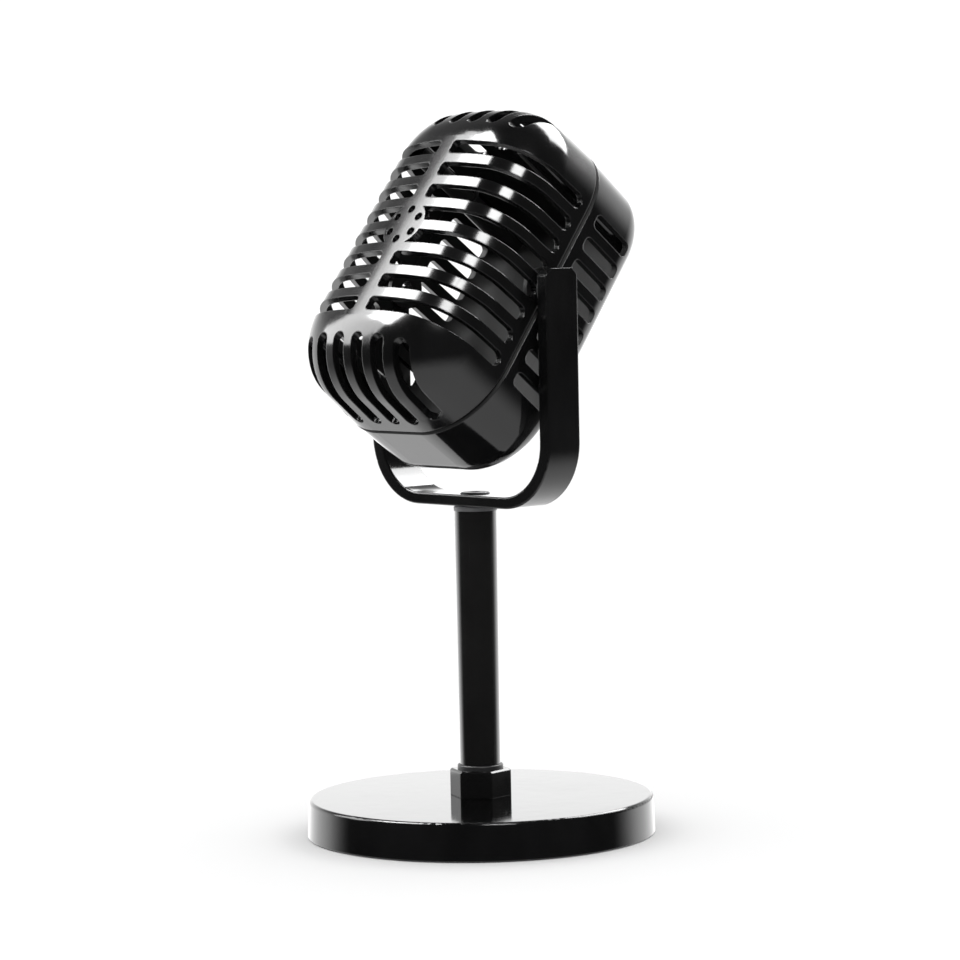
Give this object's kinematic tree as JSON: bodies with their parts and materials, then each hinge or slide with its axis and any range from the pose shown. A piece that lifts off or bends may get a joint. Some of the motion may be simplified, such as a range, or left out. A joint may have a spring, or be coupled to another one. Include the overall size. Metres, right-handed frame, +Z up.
{
  "type": "toy microphone",
  "caption": "Retro desk microphone prop: slotted hollow head tilting in a U fork that swivels on a pole above a round weighted base.",
  "frame": {"origin": "centre of the underside of the round base, on the table", "axes": "+Z up the pole; -Y is where the grille of the head looks; +X is the head's tilt axis, towards the fork arm on the left as seen from behind"},
  "size_m": [0.095, 0.095, 0.197],
  "materials": {
    "grille_black": "high gloss",
    "shell_black": "high gloss",
    "fork_black": "gloss, slightly softer than the head",
    "base_black": "high gloss",
    "pole_black": "gloss lacquer over drawn tube",
    "washer_grey": "satin",
    "screw_steel": "blackened steel",
    "ballast_steel": "raw rolled",
    "pad_foam": "matt foam rubber",
    "plate_black": "fine texture",
    "insert_plastic": "as moulded",
    "pin_steel": "turned"
  },
  "bodies": {
    "stand": {"base_cover": "base_black", "base_plate": "plate_black", "base_screws": "screw_steel", "foot_pad": "pad_foam", "ballast_disc": "ballast_steel", "base_washer": "screw_steel", "base_bolt": "screw_steel", "pole_bottom_plug": "insert_plastic", "pole": "pole_black", "hex_collar": "base_black", "pole_foot_ring": "base_black", "pole_top_plug": "insert_plastic", "swivel_washer": "washer_grey", "swivel_bolt": "screw_steel"},
    "yoke": {"fork": "fork_black", "pivot_pin_left": "pin_steel", "pivot_pin_right": "pin_steel", "pivot_washer_left": "washer_grey", "pivot_washer_right": "washer_grey"},
    "head": {"front_grille": "grille_black", "rear_shell": "shell_black", "shell_screws": "screw_steel", "pivot_bush_left": "insert_plastic", "pivot_bush_right": "insert_plastic"}
  },
  "joints": [
    {"name": "yoke_swivel", "type": "hinge", "parent": "stand", "child": "yoke", "pos_m": [0, 0, 0.09], "axis": [0, 0, 1], "range_deg": [-175, 175]},
    {"name": "head_tilt", "type": "hinge", "parent": "yoke", "child": "head", "pos_m": [0, 0, 0.1488], "axis": [1, 0, 0], "range_deg": [-53, 127]}
  ]
}
